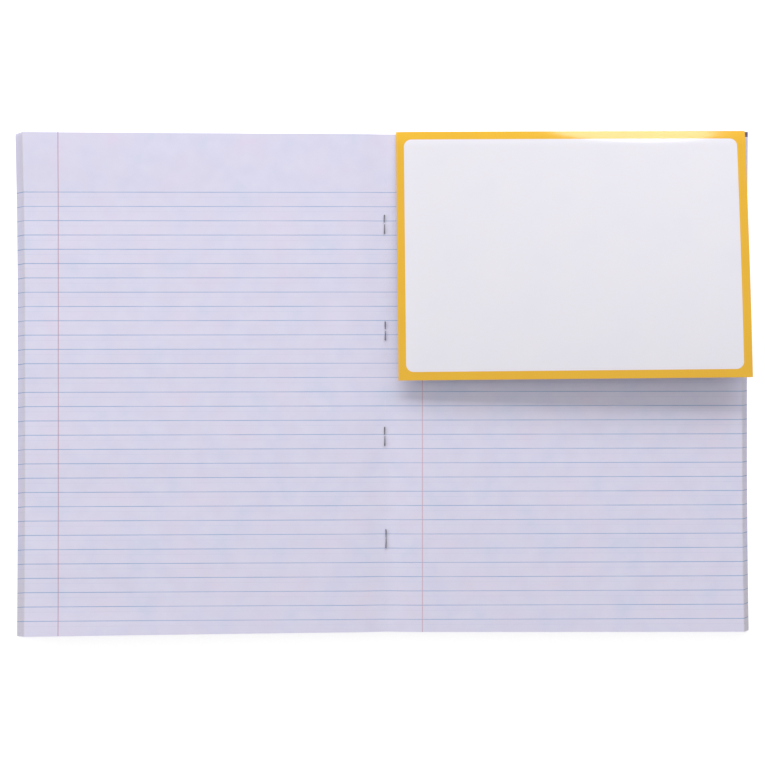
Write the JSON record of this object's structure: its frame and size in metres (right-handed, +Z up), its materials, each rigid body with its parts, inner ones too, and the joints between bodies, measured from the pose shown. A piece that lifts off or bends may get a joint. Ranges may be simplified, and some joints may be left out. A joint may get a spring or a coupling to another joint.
{
  "type": "stapled exercise book",
  "caption": "Exercise book open at its stapled centre fold: ruled leaves and soft cover that turn, and a plain glossy card glued by its head strip to one page.",
  "frame": {"origin": "on the surface the book lies on, under the fold, half way up the page", "axes": "+X across the spread to the right-hand page, +Y to the head of the page, +Z up"},
  "size_m": [0.44, 0.3005, 0.0107],
  "materials": {
    "ruled_paper": "uncoated, ruled",
    "cover_card": "matt coated",
    "staple_wire": "galvanised",
    "coated_card": "gloss coated",
    "glue": "dry"
  },
  "bodies": {
    "back_cover": {"back_cover": "cover_card", "staple_1": "staple_wire", "staple_2": "staple_wire", "staple_3": "staple_wire", "staple_4": "staple_wire"},
    "front_cover": {"front_cover": "cover_card"},
    "right_leaf_01": {"right_leaf_01": "ruled_paper", "card_strip": "coated_card", "card_glue": "glue"},
    "right_leaf_02": {"right_leaf_02": "ruled_paper"},
    "right_leaf_03": {"right_leaf_03": "ruled_paper"},
    "right_leaf_04": {"right_leaf_04": "ruled_paper"},
    "right_leaf_05": {"right_leaf_05": "ruled_paper"},
    "right_leaf_06": {"right_leaf_06": "ruled_paper"},
    "right_leaf_07": {"right_leaf_07": "ruled_paper"},
    "right_leaf_08": {"right_leaf_08": "ruled_paper"},
    "right_leaf_09": {"right_leaf_09": "ruled_paper"},
    "right_leaf_10": {"right_leaf_10": "ruled_paper"},
    "right_leaf_11": {"right_leaf_11": "ruled_paper"},
    "right_leaf_12": {"right_leaf_12": "ruled_paper"},
    "right_leaf_13": {"right_leaf_13": "ruled_paper"},
    "right_leaf_14": {"right_leaf_14": "ruled_paper"},
    "right_leaf_15": {"right_leaf_15": "ruled_paper"},
    "right_leaf_16": {"right_leaf_16": "ruled_paper"},
    "right_leaf_17": {"right_leaf_17": "ruled_paper"},
    "right_leaf_18": {"right_leaf_18": "ruled_paper"},
    "right_leaf_19": {"right_leaf_19": "ruled_paper"},
    "right_leaf_20": {"right_leaf_20": "ruled_paper"},
    "right_leaf_21": {"right_leaf_21": "ruled_paper"},
    "right_leaf_22": {"right_leaf_22": "ruled_paper"},
    "right_leaf_23": {"right_leaf_23": "ruled_paper"},
    "right_leaf_24": {"right_leaf_24": "ruled_paper"},
    "left_leaf_01": {"left_leaf_01": "ruled_paper"},
    "left_leaf_02": {"left_leaf_02": "ruled_paper"},
    "left_leaf_03": {"left_leaf_03": "ruled_paper"},
    "left_leaf_04": {"left_leaf_04": "ruled_paper"},
    "left_leaf_05": {"left_leaf_05": "ruled_paper"},
    "left_leaf_06": {"left_leaf_06": "ruled_paper"},
    "left_leaf_07": {"left_leaf_07": "ruled_paper"},
    "left_leaf_08": {"left_leaf_08": "ruled_paper"},
    "left_leaf_09": {"left_leaf_09": "ruled_paper"},
    "left_leaf_10": {"left_leaf_10": "ruled_paper"},
    "left_leaf_11": {"left_leaf_11": "ruled_paper"},
    "left_leaf_12": {"left_leaf_12": "ruled_paper"},
    "left_leaf_13": {"left_leaf_13": "ruled_paper"},
    "left_leaf_14": {"left_leaf_14": "ruled_paper"},
    "left_leaf_15": {"left_leaf_15": "ruled_paper"},
    "left_leaf_16": {"left_leaf_16": "ruled_paper"},
    "left_leaf_17": {"left_leaf_17": "ruled_paper"},
    "left_leaf_18": {"left_leaf_18": "ruled_paper"},
    "left_leaf_19": {"left_leaf_19": "ruled_paper"},
    "left_leaf_20": {"left_leaf_20": "ruled_paper"},
    "left_leaf_21": {"left_leaf_21": "ruled_paper"},
    "left_leaf_22": {"left_leaf_22": "ruled_paper"},
    "left_leaf_23": {"left_leaf_23": "ruled_paper"},
    "left_leaf_24": {"left_leaf_24": "ruled_paper"},
    "card_panel": {"card_panel": "coated_card"}
  },
  "joints": [
    {"name": "front_cover_turn", "type": "hinge", "parent": "back_cover", "child": "front_cover", "pos_m": [0, 0, 0.00906], "axis": [0, 1, 0], "range_deg": [0, 179.99]},
    {"name": "card_panel_fold", "type": "hinge", "parent": "right_leaf_01", "child": "card_panel", "pos_m": [0.00695, 0.1455, 0.00546], "axis": [-0.9999, -0.0096, 0.007], "range_deg": [0, 170]},
    {"name": "right_leaf_01_turn", "type": "hinge", "parent": "right_leaf_02", "child": "right_leaf_01", "pos_m": [0, 0, 0.00906], "axis": [0, -1, 0], "range_deg": [0, 179.99]},
    {"name": "left_leaf_01_turn", "type": "hinge", "parent": "left_leaf_02", "child": "left_leaf_01", "pos_m": [0, 0, 0.00906], "axis": [0, 1, 0], "range_deg": [0, 179.99]},
    {"name": "right_leaf_12_turn", "type": "hinge", "parent": "right_leaf_13", "child": "right_leaf_12", "pos_m": [0, 0, 0.00906], "axis": [0, -1, 0], "range_deg": [0, 179.99]},
    {"name": "left_leaf_12_turn", "type": "hinge", "parent": "left_leaf_13", "child": "left_leaf_12", "pos_m": [0, 0, 0.00906], "axis": [0, 1, 0], "range_deg": [0, 179.99]},
    {"name": "right_leaf_24_turn", "type": "hinge", "parent": "back_cover", "child": "right_leaf_24", "pos_m": [0, 0, 0.00906], "axis": [0, -1, 0], "range_deg": [0, 179.99]},
    {"name": "left_leaf_24_turn", "type": "hinge", "parent": "front_cover", "child": "left_leaf_24", "pos_m": [0, 0, 0.00906], "axis": [0, 1, 0], "range_deg": [0, 179.99]},
    {"name": "right_leaf_02_turn", "type": "hinge", "parent": "right_leaf_03", "child": "right_leaf_02", "pos_m": [0, 0, 0.00906], "axis": [0, -1, 0], "range_deg": [0, 179.99]},
    {"name": "left_leaf_02_turn", "type": "hinge", "parent": "left_leaf_03", "child": "left_leaf_02", "pos_m": [0, 0, 0.00906], "axis": [0, 1, 0], "range_deg": [0, 179.99]},
    {"name": "right_leaf_03_turn", "type": "hinge", "parent": "right_leaf_04", "child": "right_leaf_03", "pos_m": [0, 0, 0.00906], "axis": [0, -1, 0], "range_deg": [0, 179.99]},
    {"name": "left_leaf_03_turn", "type": "hinge", "parent": "left_leaf_04", "child": "left_leaf_03", "pos_m": [0, 0, 0.00906], "axis": [0, 1, 0], "range_deg": [0, 179.99]},
    {"name": "right_leaf_04_turn", "type": "hinge", "parent": "right_leaf_05", "child": "right_leaf_04", "pos_m": [0, 0, 0.00906], "axis": [0, -1, 0], "range_deg": [0, 179.99]},
    {"name": "left_leaf_04_turn", "type": "hinge", "parent": "left_leaf_05", "child": "left_leaf_04", "pos_m": [0, 0, 0.00906], "axis": [0, 1, 0], "range_deg": [0, 179.99]},
    {"name": "right_leaf_05_turn", "type": "hinge", "parent": "right_leaf_06", "child": "right_leaf_05", "pos_m": [0, 0, 0.00906], "axis": [0, -1, 0], "range_deg": [0, 179.99]},
    {"name": "left_leaf_05_turn", "type": "hinge", "parent": "left_leaf_06", "child": "left_leaf_05", "pos_m": [0, 0, 0.00906], "axis": [0, 1, 0], "range_deg": [0, 179.99]},
    {"name": "right_leaf_06_turn", "type": "hinge", "parent": "right_leaf_07", "child": "right_leaf_06", "pos_m": [0, 0, 0.00906], "axis": [0, -1, 0], "range_deg": [0, 179.99]},
    {"name": "left_leaf_06_turn", "type": "hinge", "parent": "left_leaf_07", "child": "left_leaf_06", "pos_m": [0, 0, 0.00906], "axis": [0, 1, 0], "range_deg": [0, 179.99]},
    {"name": "right_leaf_07_turn", "type": "hinge", "parent": "right_leaf_08", "child": "right_leaf_07", "pos_m": [0, 0, 0.00906], "axis": [0, -1, 0], "range_deg": [0, 179.99]},
    {"name": "left_leaf_07_turn", "type": "hinge", "parent": "left_leaf_08", "child": "left_leaf_07", "pos_m": [0, 0, 0.00906], "axis": [0, 1, 0], "range_deg": [0, 179.99]},
    {"name": "right_leaf_08_turn", "type": "hinge", "parent": "right_leaf_09", "child": "right_leaf_08", "pos_m": [0, 0, 0.00906], "axis": [0, -1, 0], "range_deg": [0, 179.99]},
    {"name": "left_leaf_08_turn", "type": "hinge", "parent": "left_leaf_09", "child": "left_leaf_08", "pos_m": [0, 0, 0.00906], "axis": [0, 1, 0], "range_deg": [0, 179.99]},
    {"name": "right_leaf_09_turn", "type": "hinge", "parent": "right_leaf_10", "child": "right_leaf_09", "pos_m": [0, 0, 0.00906], "axis": [0, -1, 0], "range_deg": [0, 179.99]},
    {"name": "left_leaf_09_turn", "type": "hinge", "parent": "left_leaf_10", "child": "left_leaf_09", "pos_m": [0, 0, 0.00906], "axis": [0, 1, 0], "range_deg": [0, 179.99]},
    {"name": "right_leaf_10_turn", "type": "hinge", "parent": "right_leaf_11", "child": "right_leaf_10", "pos_m": [0, 0, 0.00906], "axis": [0, -1, 0], "range_deg": [0, 179.99]},
    {"name": "left_leaf_10_turn", "type": "hinge", "parent": "left_leaf_11", "child": "left_leaf_10", "pos_m": [0, 0, 0.00906], "axis": [0, 1, 0], "range_deg": [0, 179.99]},
    {"name": "right_leaf_11_turn", "type": "hinge", "parent": "right_leaf_12", "child": "right_leaf_11", "pos_m": [0, 0, 0.00906], "axis": [0, -1, 0], "range_deg": [0, 179.99]},
    {"name": "left_leaf_11_turn", "type": "hinge", "parent": "left_leaf_12", "child": "left_leaf_11", "pos_m": [0, 0, 0.00906], "axis": [0, 1, 0], "range_deg": [0, 179.99]},
    {"name": "right_leaf_13_turn", "type": "hinge", "parent": "right_leaf_14", "child": "right_leaf_13", "pos_m": [0, 0, 0.00906], "axis": [0, -1, 0], "range_deg": [0, 179.99]},
    {"name": "left_leaf_13_turn", "type": "hinge", "parent": "left_leaf_14", "child": "left_leaf_13", "pos_m": [0, 0, 0.00906], "axis": [0, 1, 0], "range_deg": [0, 179.99]},
    {"name": "right_leaf_14_turn", "type": "hinge", "parent": "right_leaf_15", "child": "right_leaf_14", "pos_m": [0, 0, 0.00906], "axis": [0, -1, 0], "range_deg": [0, 179.99]},
    {"name": "left_leaf_14_turn", "type": "hinge", "parent": "left_leaf_15", "child": "left_leaf_14", "pos_m": [0, 0, 0.00906], "axis": [0, 1, 0], "range_deg": [0, 179.99]},
    {"name": "right_leaf_15_turn", "type": "hinge", "parent": "right_leaf_16", "child": "right_leaf_15", "pos_m": [0, 0, 0.00906], "axis": [0, -1, 0], "range_deg": [0, 179.99]},
    {"name": "left_leaf_15_turn", "type": "hinge", "parent": "left_leaf_16", "child": "left_leaf_15", "pos_m": [0, 0, 0.00906], "axis": [0, 1, 0], "range_deg": [0, 179.99]},
    {"name": "right_leaf_16_turn", "type": "hinge", "parent": "right_leaf_17", "child": "right_leaf_16", "pos_m": [0, 0, 0.00906], "axis": [0, -1, 0], "range_deg": [0, 179.99]},
    {"name": "left_leaf_16_turn", "type": "hinge", "parent": "left_leaf_17", "child": "left_leaf_16", "pos_m": [0, 0, 0.00906], "axis": [0, 1, 0], "range_deg": [0, 179.99]},
    {"name": "right_leaf_17_turn", "type": "hinge", "parent": "right_leaf_18", "child": "right_leaf_17", "pos_m": [0, 0, 0.00906], "axis": [0, -1, 0], "range_deg": [0, 179.99]},
    {"name": "left_leaf_17_turn", "type": "hinge", "parent": "left_leaf_18", "child": "left_leaf_17", "pos_m": [0, 0, 0.00906], "axis": [0, 1, 0], "range_deg": [0, 179.99]},
    {"name": "right_leaf_18_turn", "type": "hinge", "parent": "right_leaf_19", "child": "right_leaf_18", "pos_m": [0, 0, 0.00906], "axis": [0, -1, 0], "range_deg": [0, 179.99]},
    {"name": "left_leaf_18_turn", "type": "hinge", "parent": "left_leaf_19", "child": "left_leaf_18", "pos_m": [0, 0, 0.00906], "axis": [0, 1, 0], "range_deg": [0, 179.99]},
    {"name": "right_leaf_19_turn", "type": "hinge", "parent": "right_leaf_20", "child": "right_leaf_19", "pos_m": [0, 0, 0.00906], "axis": [0, -1, 0], "range_deg": [0, 179.99]},
    {"name": "left_leaf_19_turn", "type": "hinge", "parent": "left_leaf_20", "child": "left_leaf_19", "pos_m": [0, 0, 0.00906], "axis": [0, 1, 0], "range_deg": [0, 179.99]},
    {"name": "right_leaf_20_turn", "type": "hinge", "parent": "right_leaf_21", "child": "right_leaf_20", "pos_m": [0, 0, 0.00906], "axis": [0, -1, 0], "range_deg": [0, 179.99]},
    {"name": "left_leaf_20_turn", "type": "hinge", "parent": "left_leaf_21", "child": "left_leaf_20", "pos_m": [0, 0, 0.00906], "axis": [0, 1, 0], "range_deg": [0, 179.99]},
    {"name": "right_leaf_21_turn", "type": "hinge", "parent": "right_leaf_22", "child": "right_leaf_21", "pos_m": [0, 0, 0.00906], "axis": [0, -1, 0], "range_deg": [0, 179.99]},
    {"name": "left_leaf_21_turn", "type": "hinge", "parent": "left_leaf_22", "child": "left_leaf_21", "pos_m": [0, 0, 0.00906], "axis": [0, 1, 0], "range_deg": [0, 179.99]},
    {"name": "right_leaf_22_turn", "type": "hinge", "parent": "right_leaf_23", "child": "right_leaf_22", "pos_m": [0, 0, 0.00906], "axis": [0, -1, 0], "range_deg": [0, 179.99]},
    {"name": "left_leaf_22_turn", "type": "hinge", "parent": "left_leaf_23", "child": "left_leaf_22", "pos_m": [0, 0, 0.00906], "axis": [0, 1, 0], "range_deg": [0, 179.99]},
    {"name": "right_leaf_23_turn", "type": "hinge", "parent": "right_leaf_24", "child": "right_leaf_23", "pos_m": [0, 0, 0.00906], "axis": [0, -1, 0], "range_deg": [0, 179.99]},
    {"name": "left_leaf_23_turn", "type": "hinge", "parent": "left_leaf_24", "child": "left_leaf_23", "pos_m": [0, 0, 0.00906], "axis": [0, 1, 0], "range_deg": [0, 179.99]}
  ]
}
